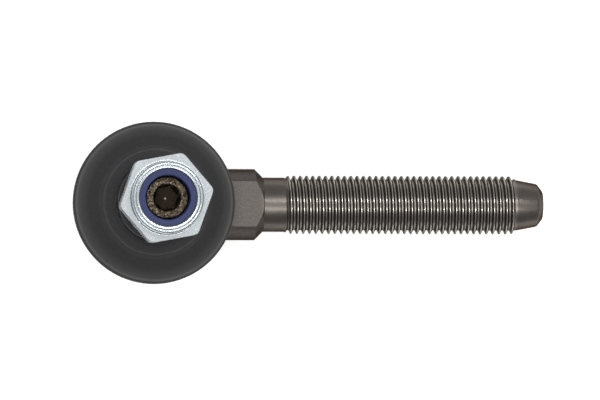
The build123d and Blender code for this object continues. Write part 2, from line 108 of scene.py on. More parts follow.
BALL_R = STUD_HIGH.x
BALL_FLAT_R = 4.75  # flat under the ball
BALL_STEPS = 40
NECK_R = 5.0
NECK_TOP = 19.0
COLLAR_R = 7.0
COLLAR_BOTTOM = 21.8
COLLAR_TOP = 26.0
TAPER_TOP = 41.0
TAPER_SMALL_R = 6.25
STUD_THREAD_START = 42.0
STUD_PITCH = 1.25
STUD_TURNS = 6
STUD_CREST_R = 5.98
STUD_CORE_R = STUD_CREST_R - THREAD_DEPTH * STUD_PITCH
SOCKET_FLATS = 5.0
SOCKET_DEPTH = 5.0
SOCKET_LEAD = 0.35
SOCKET_POINT = math.radians(59)  # half the angle of the drill's point
STUD_CHAMFER = 0.6

NUT_FLATS = 18.85
NUT_TURNED = math.radians(10.5)  # a corner of the hexagon from +X
NUT_HEX_TOP = NUT_LOW.z + 8.0
NUT_CHAMFER = math.tan(math.radians(30))
NUT_BEARING_R = NUT_FLATS / 2 - 0.5
NUT_CORNER_R = 10.66  # the bar's corners are turned down to this
NUT_COLLAR_R = 8.2
NUT_COLLAR_FOOT = 0.6  # how far the fillet under the collar spreads
NUT_BORE_R = 6.04
NUT_LEAD = 0.7
NUT_GROOVE = 0.6
NUT_TURNS = 5
NUT_RUNOUT = 0.6  # plain bore between the thread and the nylon
CRIMP_R = 6.55
CRIMP_GAP = 0.01  # under the crimped lip
NYLON_BORE_R = 5.0
NYLON_R = 7.3
NYLON_GAP = 0.02  # between the nylon and its seat

BOOT_SEAM = 15.9  # height where the boot's lower and upper halves meet, on the fold at its waist
BOOT_WAIST_R = 12.75
BOOT_WAIST_WALL = 1.2
BOOT_FOOT_R = 17.0
CLAMP_GROOVE_R = 16.2
CLAMP_GROOVE_LOW = 5.9
CLAMP_GROOVE_HIGH = 7.6
BOOT_SEAT_R = 13.82  # bore that grips the housing
BOOT_SEAT_TOP = 7.98
BOOT_RIM_R = 15.15  # clear of the housing's rolled rim
BELLOWS_R = 12.3
TOP_GROOVE_R = 8.8
TOP_GROOVE_LOW = 20.6
TOP_GROOVE_HIGH = 22.6
BOOT_LIP_R = 9.25
BOOT_BORE_R = 7.02  # round the stud's collar

WIRE_TURNS = 2
CLAMP_WIRE = 0.9
TOP_WIRE = 0.95

# ---------------------------------------------------------------- studio, in metres
FLOOR_REACH = 3.0
FLOOR_GAP = 0.0001
FLOOR_GLOW = 0.4
ROOM_DIM = 0.38  # strength of the world towards -Y
ROOM_BRIGHT = 0.72  # and towards +Y
LEAN = math.radians(5.49)  # how the part lies, towards its shank
TIP = math.radians(-1.63)
VIEW_X = -35.02 * MM  # from the middle of the view to the ball
VIEW_Y = -0.94 * MM
CAMERA_HEIGHT = 1.47
CAMERA_LENS = 375.6
CAMERA_SENSOR = 36.0
OVERHEAD_POWER = 5.4
STRIP_POWER = 5.0
STRIP_SIZE = (1.2, 0.08)


# ---------------------------------------------------------------- shaders
def linear(hex_colour):
    """Linear RGBA of an sRGB hex colour."""
    channels = [int(hex_colour[i : i + 2], 16) / 255 for i in (0, 2, 4)]
    return (*[c / 12.92 if c <= 0.04045 else ((c + 0.055) / 1.055) ** 2.4 for c in channels], 1.0)


def add_node(tree, kind, links=None, **settings):
    """Add a node to a tree. Settings give its properties, and links its inputs, each a value or the output
    of another node."""
    made = tree.nodes.new(kind)
    for name, value in settings.items():
        setattr(made, name, value)
    for socket, source in (links or {}).items():
        if isinstance(source, bpy.types.NodeSocket):
            tree.links.new(source, made.inputs[socket])
        else:
            made.inputs[socket].default_value = source
    return made


def per_mm(size):
    """Scale of a pattern, on coordinates in metres, whose features are this many millimetres across."""
    return 1 / (size * MM)


def surface(name, **constants):
    """A new material with a Principled shader, whose constant inputs are given by name."""
    made = bpy.data.materials.new(name)
    made.use_nodes = True
    tree = made.node_tree
    shader = tree.nodes["Principled BSDF"]
    for socket, value in constants.items():
        shader.inputs[socket.replace("_", " ")].default_value = value
    place = add_node(tree, "ShaderNodeTexCoord").outputs["Object"]
    return made, tree, shader, place


def patches(tree, place, size, low, high, detail=4.0, stretch=(1, 1, 1), rough=0.55):
    """Noise with patches of a size in millimetres, from 0 where it is under low to 1 over high."""
    scaled = add_node(tree, "ShaderNodeMapping", {"Vector": place, "Scale": stretch}).outputs[0]
    rule = {"Vector": scaled, "Scale": per_mm(size), "Detail": detail, "Roughness": rough}
    noise = add_node(tree, "ShaderNodeTexNoise", rule).outputs["Fac"]
    return ranged(tree, noise, low, high, 0, 1)


def blended(tree, share, first, second):
    """Colour between two, each an sRGB hex or an output."""
    ends = [linear(c) if isinstance(c, str) else c for c in (first, second)]
    return add_node(tree, "ShaderNodeMix", {0: share, 6: ends[0], 7: ends[1]}, data_type="RGBA").outputs[2]


def ranged(tree, value, low, high, to_low, to_high):
    """A value taken from one range to another, held at its ends."""
    return add_node(
        tree,
        "ShaderNodeMapRange",
        {"Value": value, "From Min": low, "From Max": high, "To Min": to_low, "To Max": to_high},
    ).outputs[0]


def maths(tree, operation, first, second=0.0):
    return add_node(tree, "ShaderNodeMath", {0: first, 1: second}, operation=operation).outputs[0]


def bumped(tree, shader, heights):
    """Chain bumps, each (height, how deep in millimetres), onto the shader's normal."""
    normal = None
    for height, depth in heights:
        links = {"Height": height, "Distance": depth * MM, "Strength": 1.0}
        if normal:
            links["Normal"] = normal
        normal = add_node(tree, "ShaderNodeBump", links).outputs[0]
    tree.links.new(normal, shader.inputs["Normal"])


def distance_from_axis(tree, place, drop, along):
    """Distance in metres from an axis along X, `drop` mm under the origin, or from the Z axis, and the way
    along that axis."""
    parts = add_node(tree, "ShaderNodeSeparateXYZ", {0: place}).outputs
    if along == "X":
        other = maths(tree, "ADD", parts["Z"], drop * MM)
        run = parts["X"]
    else:
        other = parts["X"]
        run = parts["Z"]
    flat = add_node(tree, "ShaderNodeCombineXYZ", {0: parts["Y"], 1: other}).outputs[0]
    away = add_node(tree, "ShaderNodeVectorMath", {0: flat}, operation="LENGTH").outputs["Value"]
    return away, run


def phosphated_steel():
    """Forged steel with a zinc phosphate coat: a warm dark grey, matt and finely grained. Along the crests of
    the rolled thread it is burnished smoother and painted lighter, as a painted highlight."""
    made, tree, shader, place = surface("phosphated_steel", Metallic=1.0, Specular_Tint=linear("8c8a88"))
    radius, run = distance_from_axis(tree, place, SHANK_DROP, "X")
    begins = ranged(tree, run, (SHANK_THREAD_START + 0.2) * MM, (SHANK_THREAD_START + 1.2) * MM, 0, 1)
    ends = ranged(tree, run, (SHANK_THREAD_END - 1.0) * MM, SHANK_THREAD_END * MM, 1, 0)
    on_thread = maths(tree, "MULTIPLY", begins, ends)
    # painted highlight: the crests of the thread are painted lighter in patches, as well as made smoother
    crest = ranged(tree, radius, (SHANK_CREST_R - 0.2) * MM, (SHANK_CREST_R - 0.03) * MM, 0, 1)
    crest_patches = patches(tree, place, 1.6, 0.1, 0.45)
    crest = maths(tree, "MULTIPLY", maths(tree, "MULTIPLY", crest, on_thread), crest_patches)
    forged = ranged(tree, run, (SHANK_CONE_END - 0.9) * MM, SHANK_CONE_END * MM, 1, 0)
    coat = blended(tree, patches(tree, place, 7.0, 0.35, 0.7), "58534f", "635d59")
    coat = blended(tree, forged, coat, "504c49")
    coat = blended(tree, maths(tree, "MULTIPLY", patches(tree, place, 0.35, 0.5, 0.75), 0.7), coat, "6a6460")
    coat = blended(tree, maths(tree, "MULTIPLY", on_thread, 0.8), coat, "817d78")
    # painted highlight on the crests of the thread
    coat = blended(tree, crest, coat, "a09c95")
    tree.links.new(coat, shader.inputs["Base Color"])
    grain = patches(tree, place, 0.25, 0.3, 0.7)
    matt = ranged(tree, grain, 0, 1, 0.36, 0.48)
    turned = ranged(tree, forged, 0, 1, 0.32, matt)
    tree.links.new(ranged(tree, crest, 0, 1, turned, 0.2), shader.inputs["Roughness"])
    lumps = maths(tree, "MULTIPLY", patches(tree, place, 1.4, 0.2, 0.8), ranged(tree, forged, 0, 1, 0.3, 1))
    fine = maths(tree, "MULTIPLY", grain, ranged(tree, forged, 0, 1, 0.4, 1))
    bumped(tree, shader, [(lumps, 0.03), (fine, 0.012)])
    return made


def stud_steel():
    """Turned and hardened steel with a brown phosphate coat, smooth on its ball and taper. Painted light on
    its
    end: glints, a highlight on the chamfer and at the drill point, and shade in the socket.
    """
    made, tree, shader, place = surface("stud_steel", Metallic=1.0)
    radius, run = distance_from_axis(tree, place, 0, "Z")
    ball = ranged(tree, run, 8.0 * MM, 10.0 * MM, 1, 0)
    end = ranged(tree, run, (STUD_HIGH.z - 0.9) * MM, (STUD_HIGH.z - 0.3) * MM, 0, 1)
    # painted shade: near the axis and below the end face, the socket is painted near black
    end_zone = ranged(tree, run, (STUD_HIGH.z - 0.7) * MM, (STUD_HIGH.z - 0.2) * MM, 1, 0)
    socket = maths(tree, "MULTIPLY", ranged(tree, radius, 2.7 * MM, 3.0 * MM, 1, 0), end_zone)
    coat = blended(tree, patches(tree, place, 3.0, 0.35, 0.7), "615e5b", "73706c")
    scale = blended(tree, patches(tree, place, 0.7, 0.4, 0.62), "2c261f", "5a5043")
    # painted glints: sparse light specks on the brown scale of the end
    scale = blended(tree, patches(tree, place, 0.26, 0.6, 0.66), scale, "b9ad98")
    coat = blended(tree, end, coat, scale)
    # painted highlight: the chamfer round the end is painted lighter in patches
    rim = maths(tree, "MULTIPLY", ranged(tree, radius, 4.78 * MM, 4.95 * MM, 0, 1), end)
    coat = blended(tree, maths(tree, "MULTIPLY", rim, patches(tree, place, 1.2, 0.35, 0.5)), coat, "b3aca0")
    # painted shade in the socket
    coat = blended(tree, socket, coat, "221d17")
    # painted highlight: a small light dot at the centre of the socket's floor, on the drill point
    drill_point_highlight = maths(tree, "MULTIPLY", ranged(tree, radius, 0.1 * MM, 0.32 * MM, 0.7, 0), socket)
    coat = blended(tree, drill_point_highlight, coat, "a89c88")
    coat = blended(tree, ball, coat, "b9b8b6")
    tree.links.new(coat, shader.inputs["Base Color"])
    grain = patches(tree, place, 0.22, 0.3, 0.7)
    matt = ranged(tree, grain, 0, 1, 0.34, 0.55)
    matt = ranged(tree, end, 0, 1, matt, 0.3)
    tree.links.new(ranged(tree, ball, 0, 1, matt, 0.16), shader.inputs["Roughness"])
    rough_end = maths(tree, "MULTIPLY", patches(tree, place, 0.6, 0.3, 0.7), end)
    bumped(tree, shader, [(rough_end, 0.12), (grain, 0.015)])
    return made


def zinc_plate():
    """Bright zinc plate, clear passivated: pale, slightly blue, with soft patches and fine handling marks."""
    made, tree, shader, place = surface("zinc_plate", Metallic=1.0)
    bloom = patches(tree, place, 6.0, 0.3, 0.75)
    coat = blended(tree, bloom, "9fa5a8", "a8adaf")
    radius, height = distance_from_axis(tree, place, 0, "Z")
    on_collar = maths(
        tree,
        "MULTIPLY",
        ranged(tree, radius, (NUT_COLLAR_R + 0.5) * MM, (NUT_COLLAR_R + 0.2) * MM, 0, 1),
        ranged(tree, height, (NUT_HEX_TOP + 0.1) * MM, (NUT_HEX_TOP + 0.5) * MM, 0, 1),
    )
    hammered = maths(tree, "MULTIPLY", patches(tree, place, 0.35, 0.35, 0.65), on_collar)
    specks = patches(tree, place, 0.3, 0.6, 0.72)
    coat = blended(tree, maths(tree, "MULTIPLY", specks, 0.4), coat, "8f979c")
    coat = blended(tree, maths(tree, "MULTIPLY", hammered, 0.3), coat, "8a939b")
    tree.links.new(coat, shader.inputs["Base Color"])
    scuffs = patches(tree, place, 0.5, 0.4, 0.7, stretch=(1, 4, 1))
    tree.links.new(ranged(tree, scuffs, 0, 1, 0.2, 0.3), shader.inputs["Roughness"])
    bumped(tree, shader, [(patches(tree, place, 0.9, 0.25, 0.75), 0.006), (scuffs, 0.003), (hammered, 0.006)])
    return made


def nylon():
    """Injection-moulded polyamide, dyed navy: satin, with a faint flow mottle."""
    made, tree, shader, place = surface("nylon", IOR=1.53, Specular_IOR_Level=0.35)
    coat = blended(tree, patches(tree, place, 1.5, 0.35, 0.7), "0a1948", "0f2459")
    tree.links.new(coat, shader.inputs["Base Color"])
    tree.links.new(patches(tree, place, 0.5, -1.4, 2.6), shader.inputs["Roughness"])
    bumped(tree, shader, [(patches(tree, place, 0.6, 0.3, 0.7), 0.015)])
    return made


def boot_rubber():
    """Moulded chloroprene rubber: matt black, a little dusty where it has been handled, with a painted
    highlight round its shoulder.
    """
    made, tree, shader, place = surface("boot_rubber", IOR=1.52, Specular_IOR_Level=0.35)
    bloom = patches(tree, place, 9.0, 0.35, 0.7)
    coat = blended(tree, bloom, "1b1b1d", "222224")
    radius, height = distance_from_axis(tree, place, 0, "Z")
    # painted highlight: a lighter band that fades in towards the shoulder's outer edge, with a thin lighter
    # line along it, on the top only and not the side wall
    fade = ranged(tree, radius, 15.4 * MM, 18.2 * MM, 0, 0.4)
    shoulder_highlight_line = ranged(tree, radius, 17.7 * MM, 18.25 * MM, 0, 0.5)
    upper_side = ranged(tree, height, 10.9 * MM, 11.3 * MM, 0, 1)
    edge = maths(tree, "MULTIPLY", maths(tree, "ADD", fade, shoulder_highlight_line), upper_side)
    coat = blended(tree, edge, coat, "52504f")
    dust = maths(tree, "MULTIPLY", patches(tree, place, 0.5, 0.55, 0.75), 0.35)
    coat = blended(tree, dust, coat, "3d3c3b")
    tree.links.new(coat, shader.inputs["Base Color"])
    tree.links.new(ranged(tree, bloom, 0, 1, 0.66, 0.78), shader.inputs["Roughness"])
    waves = patches(tree, place, 2.0, 0.3, 0.7)
    pores = patches(tree, place, 0.18, 0.3, 0.7)
    bumped(tree, shader, [(waves, 0.03), (pores, 0.006)])
    return made


def spring_steel():
    """Drawn and oil-blackened spring wire, with fine drawing marks along it. Its near-black tone is also
    painted shade for the boot's top groove under the nut.
    """
    made, tree, shader, place = surface("spring_steel", Metallic=1.0)
    # painted shade: the wire is made near black, also to stand for the shade in the groove round the boot's
    # top
    coat = blended(tree, patches(tree, place, 1.2, 0.35, 0.7), "1d1d1e", "303030")
    tree.links.new(coat, shader.inputs["Base Color"])
    marks = patches(tree, place, 0.3, 0.3, 0.7, stretch=(1, 1, 3))
    tree.links.new(ranged(tree, marks, 0, 1, 0.38, 0.52), shader.inputs["Roughness"])
    bumped(tree, shader, [(marks, 0.006)])
    return made


def acetal():
    """Moulded acetal: milky white, waxy, wiped with grease."""
    made, tree, shader, place = surface("acetal", IOR=1.48, Subsurface_Weight=0.1, Subsurface_Scale=MM)
    coat = blended(tree, patches(tree, place, 3.0, 0.4, 0.7), "e9e6dc", "cfc7ae")
    tree.links.new(coat, shader.inputs["Base Color"])
    tree.links.new(patches(tree, place, 2.0, -0.6, 1.9), shader.inputs["Roughness"])
    bumped(tree, shader, [(patches(tree, place, 0.8, 0.3, 0.7), 0.01)])
    return made


def plate_steel():
    """Pressed mild steel, phosphated: mid grey with faint rings from the press."""
    made, tree, shader, place = surface("plate_steel", Metallic=1.0)
    coat = blended(tree, patches(tree, place, 2.5, 0.35, 0.7), "6d6a66", "8b8884")
    tree.links.new(coat, shader.inputs["Base Color"])
    radius = distance_from_axis(tree, place, 0, "Z")[0]
    rings = ranged(tree, maths(tree, "SINE", maths(tree, "MULTIPLY", radius, per_mm(0.09))), -1, 1, 0, 1)
    tree.links.new(ranged(tree, rings, 0, 1, 0.36, 0.46), shader.inputs["Roughness"])
    bumped(tree, shader, [(rings, 0.004), (patches(tree, place, 0.3, 0.3, 0.7), 0.01)])
    return made


STEEL = phosphated_steel()
STUD_STEEL = stud_steel()
ZINC = zinc_plate()
NYLON = nylon()
RUBBER = boot_rubber()
SPRING = spring_steel()
ACETAL = acetal()
PLATE = plate_steel()


# ---------------------------------------------------------------- mesh helpers, in millimetres
SIDE_SHARE = 0.48  # the most of a side that one rounding takes


def rounded(corners, steps=4, closed=False):
    """Outline through corners given as (radius, height) or (radius, height, rounding), with an arc at each
    rounding."""
    points = []
    for i, corner in enumerate(corners):
        here = Vector(corner[:2])
        rounding = corner[2] if len(corner) > 2 else 0
        inner = closed or 0 < i < len(corners) - 1
        if not rounding or not inner:
            points.append(here)
            continue
        back = Vector(corners[i - 1][:2]) - here
        on = Vector(corners[(i + 1) % len(corners)][:2]) - here
        half = back.angle(on) / 2
        reach = min(rounding / math.tan(half), SIDE_SHARE * back.length, SIDE_SHARE * on.length)
        radius = reach * math.tan(half)
        centre = here + (back.normalized() + on.normalized()).normalized() * radius / math.sin(half)
        start = here + back.normalized() * reach - centre
        end = here + on.normalized() * reach - centre
        points += [centre + start.lerp(end, s / steps).normalized() * radius for s in range(steps + 1)]
    return points


def at(value, angle):
    """A size that may be a number or a rule of the angle."""
    return value(angle) if callable(value) else value


def hexagon(flats):
    """Rule for the distance from the axis to a hexagon's side, with a corner at angle 0."""
    return lambda angle: flats / 2 / math.cos((angle % (math.pi / 3)) - math.pi / 6)


def add_rings(mesh, outline, closed=False, turned=0.0, sides=SIDES):
    """Add the surface of an outline swept round Z. Each point is (radius, height), and either may be a rule
    of the angle from `turned`."""
    rings = []
    for radius, height in outline:
        ring = []
        for side in range(sides):
            angle = 2 * math.pi * side / sides
            r, z = at(radius, angle), at(height, angle)
            ring.append(mesh.verts.new((r * math.cos(angle + turned), r * math.sin(angle + turned), z)))
        rings.append(ring)
    for low, high in zip(rings, rings[1:] + (rings[:1] if closed else [])):
        for side in range(sides):
            after = (side + 1) % sides
            mesh.faces.new((low[side], low[after], high[after], high[side]))
    return rings


def finished(name, mesh, material, seam=1e-4):
    """Close the seams of a bmesh, point its faces outwards, mark its sharp edges and make it an object in
    metres."""
    bmesh.ops.remove_doubles(mesh, verts=mesh.verts, dist=seam)
    bmesh.ops.dissolve_degenerate(mesh, edges=mesh.edges, dist=seam)
    bmesh.ops.recalc_face_normals(mesh, faces=mesh.faces)
    for face in mesh.faces:
        face.smooth = True
    for edge in mesh.edges:
        edge.smooth = len(edge.link_faces) == 2 and edge.calc_face_angle(0) < SHARP
    bmesh.ops.scale(mesh, verts=mesh.verts, vec=(MM, MM, MM))
    data = bpy.data.meshes.new(name)
    mesh.to_mesh(data)
    mesh.free()
    data.materials.clear()
    data.materials.append(material)
    made = bpy.data.objects.new(name, data)
    bpy.context.scene.collection.objects.link(made)
    return made


def stands_for(piece, body, slot, *replaced):
    """Put a piece on its body, in the place of CAD nodes, which are hidden. The slot is not used."""
    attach(piece, body)
    if replaced:
        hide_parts(*replaced)
    return piece


# ---------------------------------------------------------------- geometry trees, in millimetres
MERGE = 0.0005  # distance under which the two edges of a rolled-up grid become one


def started_tree(name, inputs):
    """A geometry tree with named inputs: the tree, its input sockets by name, and their values inside it."""
    tree = bpy.data.node_groups.new(name, "GeometryNodeTree")
    sockets = {}
    for label, kind in inputs.items():
        socket_type = f"NodeSocket{kind}"
        sockets[label] = tree.interface.new_socket(name=label, in_out="INPUT", socket_type=socket_type)
    tree.interface.new_socket(name="Geometry", in_out="OUTPUT", socket_type="NodeSocketGeometry")
    return tree, sockets, add_node(tree, "NodeGroupInput").outputs


def give_out(tree, geometry, material):
    """End a tree with real faces, all in one material."""
    real = add_node(tree, "GeometryNodeRealizeInstances", {0: geometry}).outputs[0]
    coat = {"Geometry": real, "Material": material}
    coated = add_node(tree, "GeometryNodeSetMaterial", coat).outputs[0]
    add_node(tree, "NodeGroupOutput", {0: coated})


def eased(tree, links):
    """A value taken softly from one range to another."""
    return add_node(tree, "ShaderNodeMapRange", links, interpolation_type="SMOOTHSTEP").outputs[0]


def either(tree, share, first, second):
    """A number between two."""
    return add_node(tree, "ShaderNodeMix", {0: share, 2: first, 3: second}, data_type="FLOAT").outputs[0]


def thread_tree():
    """A right-hand thread round Z, as a skin that starts and ends on plain circles. Its turns fade in and out
    over one pitch."""
    inputs = {
        "Start": "Float",
        "Pitch": "Float",
        "Turns": "Int",
        "Crest Radius": "Float",
        "Depth": "Float",
        "Flank": "Float",
        "Entry Radius": "Float",
        "Exit Radius": "Float",
        "Turned": "Float",
        "Sides": "Int",
        "Steps": "Int",
        "Material": "Material",
    }
    tree, sockets, given = started_tree("helical_thread", inputs)

    # a flat grid: X is the way round, Y the way along in turns, one turn longer than the thread
    grid_turns = maths(tree, "ADD", given["Turns"], 1.0)
    columns = maths(tree, "ADD", given["Sides"], 1.0)
    rows = maths(tree, "ADD", maths(tree, "MULTIPLY", grid_turns, given["Steps"]), 1.0)
    size = {"Size X": 1.0, "Size Y": 1.0, "Vertices X": columns, "Vertices Y": rows}
    grid = add_node(tree, "GeometryNodeMeshGrid", size).outputs[0]
    spot = add_node(tree, "GeometryNodeInputPosition").outputs[0]
    flat = add_node(tree, "ShaderNodeSeparateXYZ", {0: spot}).outputs
    around = maths(tree, "ADD", flat["X"], 0.5)
    turn = maths(tree, "MULTIPLY", maths(tree, "ADD", flat["Y"], 0.5), grid_turns)
    along = maths(tree, "SUBTRACT", maths(tree, "ADD", turn, around), 1.0)

    # profile of one turn: the crest is an eighth of the pitch wide, and the flanks fall to the root
    crest_half = 1 / 16
    nudge = 0.0001  # keeps the first step of each turn in that turn
    phase = maths(tree, "FRACT", maths(tree, "ADD", turn, nudge))
    off_crest = maths(tree, "ABSOLUTE", maths(tree, "SUBTRACT", phase, 0.5))
    flank_end = maths(tree, "ADD", given["Flank"], crest_half)
    slope = {"Value": off_crest, "From Min": crest_half / 2, "From Max": flank_end, "To Max": given["Depth"]}
    cut = maths(tree, "SUBTRACT", given["Crest Radius"], eased(tree, slope))

    # the plain circles at both ends
    fade_in = eased(tree, {"Value": along})
    fade_out = eased(tree, {"Value": maths(tree, "SUBTRACT", given["Turns"], along)})
    second_half = maths(tree, "GREATER_THAN", along, maths(tree, "MULTIPLY", given["Turns"], 0.5))
    plain = either(tree, second_half, given["Entry Radius"], given["Exit Radius"])
    radius = either(tree, maths(tree, "MULTIPLY", fade_in, fade_out), plain, cut)

    angle = maths(tree, "ADD", maths(tree, "MULTIPLY", around, 2 * math.pi), given["Turned"])
    held = add_node(tree, "ShaderNodeClamp", {0: along, 1: 0.0, 2: given["Turns"]}).outputs[0]
    position = add_node(
        tree,
        "ShaderNodeCombineXYZ",
        {
            0: maths(tree, "MULTIPLY", radius, maths(tree, "COSINE", angle)),
            1: maths(tree, "MULTIPLY", radius, maths(tree, "SINE", angle)),
            2: maths(tree, "ADD", maths(tree, "MULTIPLY", held, given["Pitch"]), given["Start"]),
        },
    ).outputs[0]
    wound = add_node(tree, "GeometryNodeSetPosition", {"Geometry": grid, "Position": position}).outputs[0]
    merged = add_node(tree, "GeometryNodeMergeByDistance", {"Geometry": wound, "Distance": MERGE}).outputs[0]
    give_out(tree, merged, given["Material"])
    return tree, sockets


def ring_tree():
    """Wire wound round Z in close turns, with its ends cut square."""
    inputs = {
        "Bottom": "Float",
        "Radius": "Float",
        "Turns": "Float",
        "Wire Width": "Float",
        "Wire Height": "Float",
        "Sides": "Int",
        "Material": "Material",
    }
    tree, sockets, given = started_tree("wound_ring", inputs)
    spiral = add_node(
        tree,
        "GeometryNodeCurveSpiral",
        {
            "Resolution": given["Sides"],
            "Rotations": given["Turns"],
            "Start Radius": given["Radius"],
            "End Radius": given["Radius"],
            "Height": maths(tree, "MULTIPLY", given["Turns"], given["Wire Height"]),
        },
    ).outputs[0]
    upright = add_node(tree, "GeometryNodeSetCurveNormal", {0: spiral}, mode="Z_UP").outputs[0]
    lift = maths(tree, "ADD", given["Bottom"], maths(tree, "MULTIPLY", given["Wire Height"], 0.5))
    rise = add_node(tree, "ShaderNodeCombineXYZ", {2: lift}).outputs[0]
    placed = add_node(tree, "GeometryNodeTransform", {"Geometry": upright, "Translation": rise}).outputs[0]
    wire = {"Width": given["Wire Width"], "Height": given["Wire Height"]}
    section = add_node(tree, "GeometryNodeCurvePrimitiveQuadrilateral", wire).outputs[0]
    edge_share = 0.32  # rounding of the wire's edges, as a share of its height
    edge = maths(tree, "MULTIPLY", given["Wire Height"], edge_share)
    rounding = {"Curve": section, "Radius": edge, "Count": 4}
    profile = add_node(tree, "GeometryNodeFilletCurve", rounding, mode="POLY").outputs[0]
    sweep = {"Curve": placed, "Profile Curve": profile, "Fill Caps": True}
    swept = add_node(tree, "GeometryNodeCurveToMesh", sweep).outputs[0]
    give_out(tree, swept, given["Material"])
    return tree, sockets


THREAD = thread_tree()
WOUND_RING = ring_tree()


def grown(rule, **sizes):
    """Plain mesh of a geometry tree with these sizes."""
    tree, sockets = rule
    holder = bpy.data.objects.new("holder", bpy.data.meshes.new("holder"))
    bpy.context.scene.collection.objects.link(holder)
    modifier = holder.modifiers.new("rule", "NODES")
    modifier.node_group = tree
    for name, value in sizes.items():
        modifier[sockets[name.replace("_", " ")].identifier] = value
    seen = holder.evaluated_get(bpy.context.evaluated_depsgraph_get())
    data = bpy.data.meshes.new_from_object(seen)
    holder.modifiers.clear()
    bpy.data.objects.remove(holder)
    return data


# ---------------------------------------------------------------- housing and shank
def make_housing():
    """The forged cup and neck keep their shape. The shank is made anew from the end of the neck's cone, with
    a true helical thread."""
    mesh = bmesh.new()
    mesh.from_mesh(nodes["housing"].data)
    bmesh.ops.scale(mesh, verts=mesh.verts, vec=(1 / MM, 1 / MM, 1 / MM))
    bmesh.ops.remove_doubles(mesh, verts=mesh.verts, dist=1e-3)
    past_cone = [v for v in mesh.verts if v.co.x > SHANK_CONE_END + SHANK_OVERLAP]
    bmesh.ops.delete(mesh, geom=past_cone, context="VERTS")
    neck_rim = [e for e in mesh.edges if e.is_boundary]

    # the shank is made round Z and then laid along X
    shank = bmesh.new()
    plain = [(SHANK_PLAIN_R, SHANK_CONE_END + SHANK_JOIN), (SHANK_PLAIN_R, SHANK_THREAD_START)]
    add_rings(shank, plain, sides=SHANK_SIDES)
    thread = grown(
        THREAD,
        Start=SHANK_THREAD_START,
        Pitch=SHANK_PITCH,
        Turns=SHANK_TURNS,
        Crest_Radius=SHANK_CREST_R,
        Depth=THREAD_DEPTH * SHANK_PITCH,
        Flank=THREAD_DEPTH * THREAD_FLANK,
        Entry_Radius=SHANK_PLAIN_R,
        Exit_Radius=PILOT_R,
        Turned=0.0,
        Sides=SHANK_SIDES,
        Steps=THREAD_STEPS,
        Material=STEEL,
    )
    shank.from_mesh(thread)
    pilot_end = SHANK_THREAD_END + PILOT_LENGTH
    tip = rounded(
        [
            (PILOT_R, SHANK_THREAD_END),
            (PILOT_TIP_R, pilot_end, 0.9),
            (TIP_FACE_R, HOUSING_HIGH.x, 0.5),
            (0, HOUSING_HIGH.x),
        ],
        steps=6,
    )
    add_rings(shank, tip, sides=SHANK_SIDES)
    bmesh.ops.remove_doubles(shank, verts=shank.verts, dist=1e-3)
    lay_down = Matrix.Translation((0, 0, -SHANK_DROP)) @ Matrix.Rotation(math.radians(90), 4, "Y")
    bmesh.ops.transform(shank, matrix=lay_down, verts=shank.verts)
    made = bpy.data.meshes.new("shank")
    shank.to_mesh(made)
    shank.free()
    mesh.from_mesh(made)
    shank_rim = [e for e in mesh.edges if e.is_boundary and e not in set(neck_rim)]
    bmesh.ops.bridge_loops(mesh, edges=neck_rim + shank_rim)
    piece = finished("housing_and_shank", mesh, STEEL, seam=1e-3)
    return stands_for(piece, "housing_body", "phosphated_steel", "housing")


# ---------------------------------------------------------------- ball stud
def make_stud():
    """Ball, neck, collar, taper and thread, turned round Z, with a hexagon socket in the end."""
    mesh = bmesh.new()
    rise = math.acos(BALL_FLAT_R / BALL_R)
    top = math.acos(NECK_R / BALL_R)
    angles = [-rise + (rise + top) * s / BALL_STEPS for s in range(BALL_STEPS + 1)]
    ball = [(0, -BALL_R * math.sin(rise))]
    ball += [(BALL_R * math.cos(a), BALL_R * math.sin(a)) for a in angles]
    stem = rounded(
        [
            (NECK_R, BALL_R * math.sin(top)),
            (NECK_R, NECK_TOP + 0.6, 1.6),
            (COLLAR_R, COLLAR_BOTTOM, 1.0),
            (COLLAR_R, COLLAR_TOP, 0.2),
            (TAPER_SMALL_R, TAPER_TOP, 0.2),
            (STUD_CORE_R, TAPER_TOP + 0.2, 0.1),
            (STUD_CORE_R, STUD_THREAD_START),
        ]
    )
    add_rings(mesh, ball + stem[1:], turned=NUT_TURNED)
    mesh.from_mesh(
        grown(
            THREAD,
            Start=STUD_THREAD_START,
            Pitch=STUD_PITCH,
            Turns=STUD_TURNS,
            Crest_Radius=STUD_CREST_R,
            Depth=THREAD_DEPTH * STUD_PITCH,
            Flank=THREAD_DEPTH * THREAD_FLANK,
            Entry_Radius=STUD_CORE_R,
            Exit_Radius=STUD_CORE_R,
            Turned=NUT_TURNED,
            Sides=SIDES,
            Steps=THREAD_STEPS,
            Material=STUD_STEEL,
        )
    )
    thread_end = STUD_THREAD_START + STUD_PITCH * STUD_TURNS
    end = STUD_HIGH.z
    wall = hexagon(SOCKET_FLATS)
    mouth = SOCKET_FLATS / math.sqrt(3) + SOCKET_LEAD
    floor = end - SOCKET_DEPTH
    point = SOCKET_FLATS / 2 / math.tan(SOCKET_POINT)
    rim = rounded(
        [
            (STUD_CORE_R, thread_end),
            (STUD_CORE_R, end - STUD_CHAMFER, 0.1),
            (STUD_CORE_R - STUD_CHAMFER, end, 0.1),
            (0, end),
        ]
    )
    socket = [
        (mouth, end),
        (wall, lambda angle: end - (mouth - wall(angle))),
        (wall, floor),
        (SOCKET_FLATS / 2, floor),
        (0, floor - point),
    ]
    add_rings(mesh, rim[:-1] + socket, turned=NUT_TURNED)
    piece = finished("ball_stud_turned", mesh, STUD_STEEL)
    return stands_for(piece, "stud_body", "stud_steel", "ball_stud")


